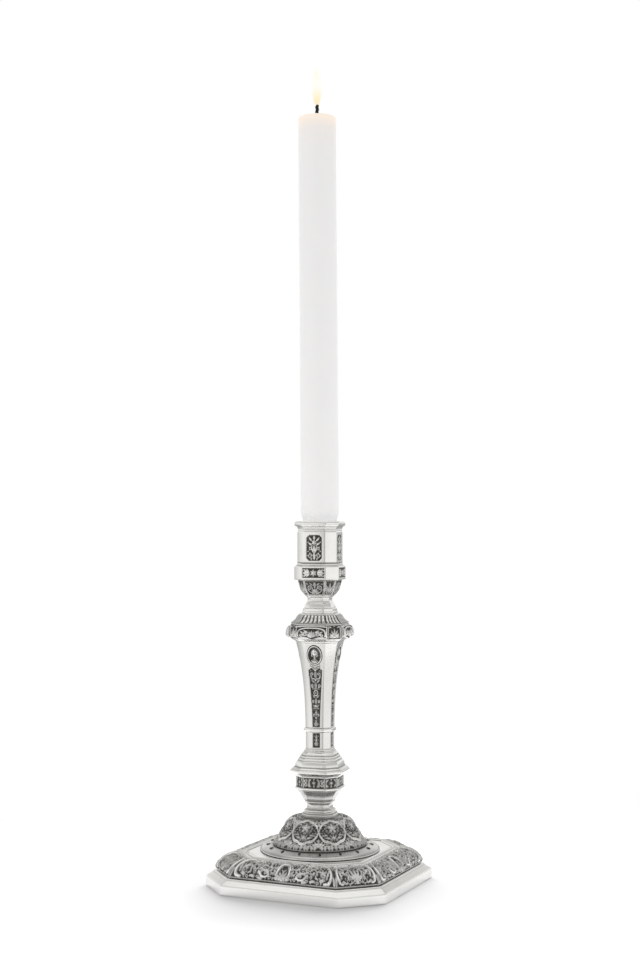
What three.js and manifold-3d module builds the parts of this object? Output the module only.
// Candlestick in the early eighteenth-century French manner: a square foot with cut corners, an eight-sided
// stem of stacked castings drawn together by a tie rod, a lined socket, and one candle that lifts out.
// Millimetres, +Z up. The origin is the middle of the foot's underside; the foot's broad sides face X and Y.

import * as THREE from "three";
import { mergeVertices } from "three/addons/utils/BufferGeometryUtils.js";
import Module from "manifold-3d";

const wasm = await Module();
wasm.setup();

// ---- Driving dimensions ----

const FOOT_HALF = 62; // half the foot's width across its broad sides
const FOOT_CUT = 0.36; // share of the half width that a cut corner takes off the foot
const STEM_CUT = 0.45; // the same share on the stem, whose cut corners are a little wider
const STEM_TURN = 8; // degrees that the stem stands off square to the foot, as it was tightened

// Height of the underside of each piece that shows, from the table upwards.
const LEVEL = {
  border: 10,
  tray: 17.25,
  disc: 19.25,
  dome: 23,
  collar: 40,
  neck: 44.5,
  bowl: 51.5,
  frieze: 58.5,
  cap: 68,
  die: 84.5,
  band: 97.5,
  shaft: 100.25,
  capital: 155.5,
  roof: 168,
  waist: 174.25,
  cup: 184.5,
  socketCollar: 196,
  barrel: 206.75,
  rim: 229,
  rimTop: 234,
  candleFoot: 214,
  candleTop: 501,
};

const SEAM = 0.3; // solder or clearance left between neighbouring pieces

const ROD_RADIUS = 2.5; // M5 tie rod
const ROD_BORE = 2.8; // clearance bore that it runs through
const SPIGOT_RADIUS = 4.4; // each casting's spigot centres the next one
const SPIGOT_HEIGHT = 2;
const RECESS_RADIUS = 4.7;
const RECESS_DEPTH = 2.1;

const CANDLE_RADIUS = 12.5; // one-inch altar candle
const CANDLE_FOOT_RADIUS = 10.75; // its foot is pared down to enter the socket
const CANDLE_LEAN = 0.4; // degrees that the candle stands off upright, within its clearance
const LINER_BORE = 11.2;
const LINER_WALL = 0.4;
const BARREL_BORE = 11.9;
const BARREL_HALF = 13.25;

const SHEET = 2; // thickness of the foot's castings
const FELT = 1.5;
const PLATE = 1.5;
const CURVE_STEPS = 5; // straight steps in each curve of a profile
const ROUND_SIDES = 40;

// ---- Helpers ----

// A profile is drawn in (distance from the axis, height), upwards along the outside.
const profile = (distance, height) => new THREE.Path().moveTo(distance, height);

function lathe(path, sides, start = 0) {
  const geometry = new THREE.LatheGeometry(path.getPoints(CURVE_STEPS), sides, start);
  return geometry.rotateX(Math.PI / 2);
}

const round = (path, sides = ROUND_SIDES) => lathe(path, sides);

// An eight-sided turning whose broad sides are wider than its cut corners. Distances in the profile are the
// half width across the broad sides, and each corner slides along its broad side.
function eightSided(path, cut) {
  const sides = 8;
  const geometry = lathe(path, sides, Math.PI / sides);
  const place = geometry.attributes.position;
  for (let i = 0; i < place.count; i++) {
    const x = place.getX(i);
    const y = place.getY(i);
    const half = Math.hypot(x, y);
    const corner = half * (1 - cut);
    const broad = Math.abs(x) > Math.abs(y);
    place.setXY(i, Math.sign(x) * (broad ? half : corner), Math.sign(y) * (broad ? corner : half));
  }
  return geometry;
}

function cylinder(radius, low, high, sides = 16) {
  const geometry = new THREE.CylinderGeometry(radius, radius, high - low, sides);
  return geometry.rotateX(Math.PI / 2).translate(0, 0, (low + high) / 2);
}

function solid(geometry) {
  const bare = geometry.clone();
  bare.deleteAttribute("normal");
  bare.deleteAttribute("uv");
  const merged = mergeVertices(bare, 1e-4);
  return new wasm.Manifold(
    new wasm.Mesh({
      numProp: 3,
      vertProperties: merged.attributes.position.array,
      triVerts: new Uint32Array(merged.index.array),
    }),
  );
}

function geometryOf(made) {
  const mesh = made.getMesh();
  const geometry = new THREE.BufferGeometry();
  geometry.setAttribute("position", new THREE.BufferAttribute(mesh.vertProperties, 3));
  geometry.setIndex(new THREE.BufferAttribute(mesh.triVerts, 1));
  geometry.computeVertexNormals();
  return geometry;
}

const material = (color, roughness, metalness) =>
  new THREE.MeshStandardMaterial({ color, roughness, metalness });

const silver = material(0xd9d7d1, 0.22, 1);
const chasedSilver = material(0x8f8d88, 0.4, 1);
const steel = material(0x9a9ca0, 0.35, 1);
const felt = material(0x24402f, 0.95, 0);
const wax = material(0xf3f0ea, 0.5, 0);
const charred = material(0x1a1613, 0.9, 0);

const candlestick = new THREE.Group();
const stem = new THREE.Group();
stem.rotation.z = THREE.MathUtils.degToRad(STEM_TURN);
candlestick.add(stem);

function add(name, geometry, finish, owner = candlestick) {
  const mesh = new THREE.Mesh(geometry, finish);
  mesh.name = name;
  owner.add(mesh);
  return mesh;
}

// A casting of the stem: bored for the rod, with a recess under it and a spigot on top that centres the next.
function casting(path, low, high) {
  const spigot = solid(cylinder(SPIGOT_RADIUS, high - 1, high + SPIGOT_HEIGHT));
  const recess = solid(cylinder(RECESS_RADIUS, low - 1, low + RECESS_DEPTH));
  const bore = solid(cylinder(ROD_BORE, low - 1, high + SPIGOT_HEIGHT + 1));
  return geometryOf(solid(eightSided(path, STEM_CUT)).add(spigot).subtract(recess).subtract(bore));
}

// ---- Foot ----

// Polished outer moulding: an upright band, a cove and a flat fillet, open in the middle.
function footMoulding() {
  const out = FOOT_HALF;
  const inner = out - 3;
  const path = profile(inner, 0)
    .lineTo(out - 0.5, 0)
    .lineTo(out, 0.5)
    .lineTo(out, 5.75)
    .lineTo(out - 0.75, 6.25)
    .quadraticCurveTo(out - 1.25, 8.75, out - 3.5, 9)
    .lineTo(out - 3.75, LEVEL.border)
    .lineTo(out - 7, LEVEL.border)
    .lineTo(out - 7, 8)
    .lineTo(inner, 5)
    .lineTo(inner, 0);
  return eightSided(path, FOOT_CUT);
}

// Chased border: a convex band that rises from the moulding to the sunk tray.
const BORDER_OUT = FOOT_HALF - 4.75;
const BORDER_IN = 43.5;
const BORDER_TOP = 19.75;

function footBorder() {
  const low = LEVEL.border + SEAM;
  const rise = BORDER_TOP - low;
  const across = BORDER_OUT - BORDER_IN;
  const path = profile(BORDER_OUT - SHEET, low).lineTo(BORDER_OUT, low);
  path.absellipse(BORDER_IN, low, across, rise, 0, Math.PI / 2, false);
  path.lineTo(BORDER_IN, BORDER_TOP - SHEET);
  path.absellipse(BORDER_IN, low, across - SHEET, rise - SHEET, Math.PI / 2, 0, true);
  return eightSided(path, FOOT_CUT);
}

// Flat tray inside the border, with a round hole under the disc.
const TRAY_HALF = BORDER_IN - SEAM;
const WELL_RADIUS = 28;

function footTray() {
  const plate = profile(0, LEVEL.tray)
    .lineTo(TRAY_HALF, LEVEL.tray)
    .lineTo(TRAY_HALF, LEVEL.disc - SEAM)
    .lineTo(0, LEVEL.disc - SEAM);
  const well = cylinder(WELL_RADIUS, LEVEL.tray - 1, LEVEL.disc + 1, ROUND_SIDES);
  return geometryOf(solid(eightSided(plate, FOOT_CUT)).subtract(solid(well)));
}

// Double wire soldered over the seam between border and tray.
function footWire() {
  const out = TRAY_HALF - 0.25;
  const path = profile(out - 2.25, LEVEL.disc)
    .lineTo(out, LEVEL.disc)
    .quadraticCurveTo(out + 0.15, 20.5, out - 1, 20.5)
    .quadraticCurveTo(out - 1.25, 21.25, out - 1.75, 21.25)
    .quadraticCurveTo(out - 2.25, 21, out - 2.25, LEVEL.disc);
  return eightSided(path, FOOT_CUT);
}

// Round disc on the tray, stepped at its edge and sloping gently up to the dome.
const DISC_RADIUS = 39;
const DOME_RADIUS = 30.75;

function footDisc() {
  const path = profile(WELL_RADIUS + 0.5, LEVEL.disc)
    .lineTo(DISC_RADIUS, LEVEL.disc)
    .lineTo(DISC_RADIUS, 20)
    .quadraticCurveTo(DISC_RADIUS - 1, 20, DISC_RADIUS - 1.25, 21)
    .lineTo(DOME_RADIUS + 0.5, LEVEL.dome - SEAM)
    .lineTo(WELL_RADIUS + 0.5, LEVEL.dome - SEAM)
    .lineTo(WELL_RADIUS + 0.5, LEVEL.disc);
  return round(path);
}

// Strapwork dome: a flared skirt, steep sides and a rounded top that carries the stem.
function dome() {
  const top = LEVEL.collar - SEAM;
  const path = profile(0, top - 3)
    .lineTo(12, top - 3)
    .quadraticCurveTo(17.5, 37, 20.25, 33.5)
    .lineTo(24.25, 27.75)
    .quadraticCurveTo(25.75, 25, DOME_RADIUS - SHEET, 24)
    .lineTo(DOME_RADIUS - SHEET, LEVEL.dome)
    .lineTo(DOME_RADIUS, LEVEL.dome)
    .lineTo(DOME_RADIUS, 23.75)
    .quadraticCurveTo(28, 26, 26.5, 28.75)
    .lineTo(22.75, 34.25)
    .quadraticCurveTo(19.5, 39, 13.25, top)
    .lineTo(0, top);
  const spigot = solid(cylinder(SPIGOT_RADIUS, top - 1, top + SPIGOT_HEIGHT));
  const bore = solid(cylinder(ROD_BORE, top - 4, top + SPIGOT_HEIGHT + 1));
  return geometryOf(solid(round(path)).add(spigot).subtract(bore));
}

add("foot_moulding", footMoulding(), silver);
add("foot_border", footBorder(), chasedSilver);
add("foot_tray", footTray(), silver);
add("foot_wire", footWire(), silver);
add("foot_disc", footDisc(), silver);
add("foot_dome", dome(), chasedSilver);

// ---- Under the foot ----

const PLATE_HALF = FOOT_HALF - 3 - SEAM;

// Closing plate pressed into the moulding, and the felt glued under it.
function underPlate(low, high) {
  const path = profile(0, low).lineTo(PLATE_HALF, low).lineTo(PLATE_HALF, high).lineTo(0, high);
  return eightSided(path, FOOT_CUT);
}

add("felt_pad", underPlate(0, FELT), felt);
add("base_plate", underPlate(FELT + SEAM, FELT + SEAM + PLATE), steel);

// ---- Tie rod, its nut and washer ----

const ROD_LOW = 26;
const ROD_HIGH = 191;
const WASHER_HIGH = LEVEL.collar - 2 * SEAM - 3;
const WASHER = 1.5;
const NUT_HIGH = WASHER_HIGH - WASHER - SEAM;
const NUT = 4;

function bored(outer, sides, low, high) {
  const bore = solid(cylinder(ROD_BORE, low - 1, high + 1));
  return geometryOf(solid(cylinder(outer, low, high, sides)).subtract(bore));
}

add("tie_rod", cylinder(ROD_RADIUS, ROD_LOW, ROD_HIGH), steel);
add("tie_washer", bored(10, 24, WASHER_HIGH - WASHER, WASHER_HIGH), steel);
add("tie_nut", bored(5, 6, NUT_HIGH - NUT, NUT_HIGH), steel);

// ---- Lower stem ----

function lowerCollar() {
  const low = LEVEL.collar;
  const high = LEVEL.neck - SEAM;
  const path = profile(0, low)
    .lineTo(11.5, low)
    .lineTo(11.5, low + 1.25)
    .quadraticCurveTo(10.5, low + 1.5, 10.25, low + 3)
    .lineTo(9.75, low + 3)
    .quadraticCurveTo(10.25, low + 3.75, 9.5, high)
    .lineTo(0, high);
  return casting(path, low, high);
}

function lowerNeck() {
  const low = LEVEL.neck;
  const high = LEVEL.bowl - SEAM;
  const path = profile(0, low)
    .lineTo(9.25, low)
    .quadraticCurveTo(7.5, low + 1, 7.5, low + 3)
    .quadraticCurveTo(7.5, low + 4.75, 8.25, low + 5.25)
    .lineTo(9, low + 5.5)
    .lineTo(9, high)
    .lineTo(0, high);
  return casting(path, low, high);
}

function knopBowl() {
  const low = LEVEL.bowl;
  const high = LEVEL.frieze - SEAM;
  const path = profile(0, low)
    .lineTo(9.25, low)
    .quadraticCurveTo(11, low + 4.5, 13, high)
    .lineTo(0, high);
  return casting(path, low, high);
}

function knopFrieze() {
  const low = LEVEL.frieze;
  const high = LEVEL.cap - SEAM;
  const path = profile(0, low)
    .lineTo(13.5, low)
    .lineTo(14.4, low + 0.75)
    .lineTo(14.4, low + 1.5)
    .lineTo(13.75, low + 2)
    .lineTo(13.75, high)
    .lineTo(0, high);
  return casting(path, low, high);
}

function knopCap() {
  const low = LEVEL.cap;
  const high = LEVEL.die - SEAM;
  const path = profile(0, low)
    .lineTo(14.5, low)
    .quadraticCurveTo(15, low + 2, 17, low + 2.25)
    .lineTo(17, low + 3.25)
    .lineTo(15, low + 5)
    .lineTo(14.5, low + 5)
    .quadraticCurveTo(14.5, low + 7.5, 13.1, low + 9.5);
  // Three stepped ledges lead from the cushion up to the foot of the shaft.
  const ledges = [12.6, 11.6, 10.6];
  ledges.forEach((half, i) => {
    path.lineTo(half, low + 9.75 + i * 2);
    path.lineTo(half - 0.5, low + 11.5 + i * 2);
  });
  path.lineTo(9, low + 15.75).lineTo(9, high).lineTo(0, high);
  return casting(path, low, high);
}

add("lower_collar", lowerCollar(), silver, stem);
add("lower_neck", lowerNeck(), silver, stem);
add("knop_bowl", knopBowl(), silver, stem);
add("knop_frieze", knopFrieze(), chasedSilver, stem);
add("knop_cap", knopCap(), silver, stem);

// ---- Shaft ----

const DIE_HALF = 8.25;
const SHAFT_FOOT_HALF = 8.5;
const SHAFT_TOP_HALF = 14;

function shaftDie() {
  const low = LEVEL.die;
  const high = LEVEL.band - SEAM;
  const path = profile(0, low)
    .lineTo(8.75, low)
    .quadraticCurveTo(DIE_HALF, low + 0.5, DIE_HALF, low + 1.5)
    .lineTo(DIE_HALF, high)
    .lineTo(0, high);
  return casting(path, low, high);
}

function shaftBand() {
  const low = LEVEL.band;
  const high = LEVEL.shaft - SEAM;
  const path = profile(0, low)
    .lineTo(8.5, low)
    .quadraticCurveTo(9.75, (low + high) / 2, 8.5, high)
    .lineTo(0, high);
  return casting(path, low, high);
}

function shaft() {
  const low = LEVEL.shaft;
  const high = LEVEL.capital - SEAM;
  const path = profile(0, low)
    .lineTo(SHAFT_FOOT_HALF, low)
    .quadraticCurveTo(8.7, 134, SHAFT_TOP_HALF, high)
    .lineTo(0, high);
  let made = solid(casting(path, low, high));
  for (let i = 0; i < 4; i++) {
    const pocket = oval(SEAM, 3).translate(0, -(MEDALLION_SEAT - SEAM), MEDALLION_HEIGHT);
    made = made.subtract(solid(pocket.rotateZ((i * Math.PI) / 2)));
  }
  return geometryOf(made);
}

// Oval medallion let into a pocket on each broad side, leaning outwards with the shaft.
const MEDALLION_WIDE = 4.9;
const MEDALLION_TALL = 6.4;
const MEDALLION_HEIGHT = 147.5;
const MEDALLION_SEAT = 11.85; // distance of its back from the axis
const MEDALLION_THICK = 1.1;
const MEDALLION_LEAN = THREE.MathUtils.degToRad(10);

function oval(grow, depth) {
  const outline = new THREE.Shape();
  outline.absellipse(0, 0, MEDALLION_WIDE + grow, MEDALLION_TALL + grow, 0, Math.PI * 2);
  const plaque = new THREE.ExtrudeGeometry(outline, { depth, bevelEnabled: false, curveSegments: 14 });
  return plaque.rotateX(Math.PI / 2 + MEDALLION_LEAN);
}

const medallion = () => oval(0, MEDALLION_THICK);

const SIDES = ["front", "right", "back", "left"];

function onEachBroadSide(name, make, finish, distance, height) {
  SIDES.forEach((side, i) => {
    const holder = new THREE.Group();
    holder.rotation.z = (i * Math.PI) / 2;
    stem.add(holder);
    add(`${name}_${side}`, make(), finish, holder).position.set(0, -distance, height);
  });
}

add("shaft_die", shaftDie(), chasedSilver, stem);
add("shaft_band", shaftBand(), silver, stem);
add("shaft", shaft(), chasedSilver, stem);
onEachBroadSide("medallion", medallion, chasedSilver, MEDALLION_SEAT, MEDALLION_HEIGHT);

// ---- Capital ----

const CAPITAL_HALF = 17.3;

function capital() {
  const low = LEVEL.capital;
  const high = LEVEL.roof - SEAM;
  const path = profile(0, low)
    .lineTo(14.25, low)
    .lineTo(14.5, low + 1)
    .quadraticCurveTo(16.5, low + 1.25, CAPITAL_HALF, low + 3)
    .lineTo(CAPITAL_HALF, low + 7)
    .quadraticCurveTo(17, low + 10.5, 15.5, high)
    .lineTo(0, high);
  return casting(path, low, high);
}

// Apron over each broad side of the capital: a bulging tab with an arched top.
const APRON_HALF = 10.2;
const APRON_LOW = 157.5;
const APRON_TALL = 9;
const APRON_DEEP = 2.4;

function apron() {
  const section = new THREE.Shape()
    .moveTo(0, 0)
    .lineTo(APRON_DEEP - 1, 0)
    .quadraticCurveTo(APRON_DEEP + 0.75, APRON_TALL * 0.3, APRON_DEEP - 1, APRON_TALL * 0.75)
    .lineTo(0.5, APRON_TALL)
    .lineTo(0, APRON_TALL)
    .lineTo(0, 0);
  const bar = new THREE.ExtrudeGeometry(section, {
    depth: APRON_HALF * 2,
    bevelEnabled: false,
    curveSegments: CURVE_STEPS,
  });
  // The section is drawn outwards along X and upwards along Y; it is turned to face -Y.
  return bar.translate(0, 0, -APRON_HALF).rotateX(Math.PI / 2).rotateZ(-Math.PI / 2);
}

// Gadrooned roof between the capital and the waist.
function gadroonRoof() {
  const low = LEVEL.roof;
  const high = LEVEL.waist - SEAM;
  const path = profile(0, low)
    .lineTo(16.25, low)
    .quadraticCurveTo(13.25, low + 1, 12.5, low + 3.5)
    .quadraticCurveTo(12, low + 5, 10.75, high)
    .lineTo(0, high);
  return casting(path, low, high);
}

function waist() {
  const low = LEVEL.waist;
  const high = LEVEL.cup - SEAM;
  const path = profile(0, low)
    .lineTo(10.25, low)
    .lineTo(10, low + 2.75)
    .lineTo(9.25, low + 3.5)
    .quadraticCurveTo(9, low + 5.75, 7.5, low + 7.25)
    .quadraticCurveTo(6.75, low + 8.75, 7.25, high)
    .lineTo(0, high);
  return casting(path, low, high);
}

add("capital", capital(), chasedSilver, stem);
onEachBroadSide("apron", apron, chasedSilver, CAPITAL_HALF + SEAM, APRON_LOW);
add("gadroon_roof", gadroonRoof(), chasedSilver, stem);
add("waist", waist(), silver, stem);

// ---- Socket ----

// The cup takes the top of the tie rod in a blind threaded hole.
function socketCup() {
  const low = LEVEL.cup;
  const high = LEVEL.socketCollar - SEAM;
  const path = profile(0, low)
    .lineTo(7.5, low)
    .quadraticCurveTo(11.75, low + 3.5, 12, low + 7)
    .lineTo(13, high)
    .lineTo(0, high);
  const spigot = solid(cylinder(SPIGOT_RADIUS, high - 1, high + SPIGOT_HEIGHT));
  const recess = solid(cylinder(RECESS_RADIUS, low - 1, low + RECESS_DEPTH));
  const thread = solid(cylinder(ROD_BORE, low - 1, ROD_HIGH + 0.5));
  return geometryOf(solid(eightSided(path, STEM_CUT)).add(spigot).subtract(recess).subtract(thread));
}

function socketCollar() {
  const low = LEVEL.socketCollar;
  const high = LEVEL.barrel - SEAM;
  const path = profile(0, low)
    .lineTo(14.5, low)
    .lineTo(15, low + 0.5)
    .lineTo(15, low + 8.5)
    .lineTo(14.5, low + 9.25)
    .quadraticCurveTo(13.75, low + 9.5, 13.5, high)
    .lineTo(0, high);
  const recess = solid(cylinder(RECESS_RADIUS, low - 1, low + RECESS_DEPTH));
  return geometryOf(solid(eightSided(path, STEM_CUT)).subtract(recess));
}

function socketBarrel() {
  const low = LEVEL.barrel;
  const high = LEVEL.rim - SEAM;
  const path = profile(0, low).lineTo(BARREL_HALF, low).lineTo(BARREL_HALF, high).lineTo(0, high);
  const bore = cylinder(BARREL_BORE, low - 1, high + 1, ROUND_SIDES);
  return geometryOf(solid(eightSided(path, STEM_CUT)).subtract(solid(bore)));
}

function socketRim() {
  const low = LEVEL.rim;
  const high = LEVEL.rimTop;
  const path = profile(0, low)
    .lineTo(13, low)
    .quadraticCurveTo(13.25, low + 1, 14.25, low + 1.25)
    .quadraticCurveTo(15.25, low + 3.5, 14.25, high)
    .lineTo(0, high);
  const bore = cylinder(LINER_BORE, low - 1, high + 1, ROUND_SIDES);
  return geometryOf(solid(eightSided(path, STEM_CUT)).subtract(solid(bore)));
}

// Thin drawn cup inside the barrel, which catches the wax.
function socketLiner() {
  const low = LEVEL.barrel + SEAM;
  const high = LEVEL.rim - SEAM;
  const out = LINER_BORE + LINER_WALL;
  const path = profile(0, low)
    .lineTo(out - 0.5, low)
    .lineTo(out, low + 0.5)
    .lineTo(out, high)
    .lineTo(LINER_BORE, high)
    .lineTo(LINER_BORE, low + LINER_WALL)
    .lineTo(0, low + LINER_WALL);
  return round(path);
}

add("socket_cup", socketCup(), chasedSilver, stem);
add("socket_collar", socketCollar(), chasedSilver, stem);
add("socket_barrel", socketBarrel(), chasedSilver, stem);
add("socket_rim", socketRim(), silver, stem);
add("socket_liner", socketLiner(), silver, stem);

// ---- Candle ----

const WICK_RADIUS = 1;
const WICK_SEAT = 3; // depth of the hole in the wax that the wick stands in
const WICK_RISE = 9;

function candle() {
  const foot = LEVEL.candleFoot;
  const top = LEVEL.candleTop;
  const path = profile(0, foot)
    .lineTo(CANDLE_FOOT_RADIUS - 0.75, foot)
    .lineTo(CANDLE_FOOT_RADIUS, foot + 1)
    .lineTo(CANDLE_FOOT_RADIUS + 0.15, LEVEL.rimTop)
    .quadraticCurveTo(CANDLE_RADIUS - 0.25, LEVEL.rimTop + 3.5, CANDLE_RADIUS, LEVEL.rimTop + 8)
    .lineTo(CANDLE_RADIUS, top - 1)
    .quadraticCurveTo(CANDLE_RADIUS, top, CANDLE_RADIUS - 1, top)
    .quadraticCurveTo(CANDLE_RADIUS / 2, top - 1.25, 0, top - 1.5);
  const seat = cylinder(WICK_RADIUS + 0.1, top - 1.5 - WICK_SEAT, top + 1, 16);
  return geometryOf(solid(round(path)).subtract(solid(seat)));
}

function wick() {
  const foot = LEVEL.candleTop - 1.25 - WICK_SEAT;
  const tip = LEVEL.candleTop + WICK_RISE;
  const path = profile(0, foot)
    .lineTo(WICK_RADIUS, foot)
    .lineTo(WICK_RADIUS, tip - 0.75)
    .lineTo(WICK_RADIUS - 0.5, tip)
    .lineTo(0, tip);
  return round(path, 12);
}

// The candle leans a little to the left of the foot's front, turning about its seat in the socket.
const leaning = new THREE.Group();
const away = THREE.MathUtils.degToRad(CANDLE_LEAN);
const seat = (LEVEL.candleFoot + LEVEL.rimTop) / 2;
leaning.rotation.set(away * Math.sin(Math.PI / 8), -away * Math.cos(Math.PI / 8), 0);
leaning.position.set(0, 0, seat);
candlestick.add(leaning);
add("candle", candle().translate(0, 0, -seat), wax, leaning);
add("wick", wick().translate(0, 0, -seat), charred, leaning);

export default candlestick;
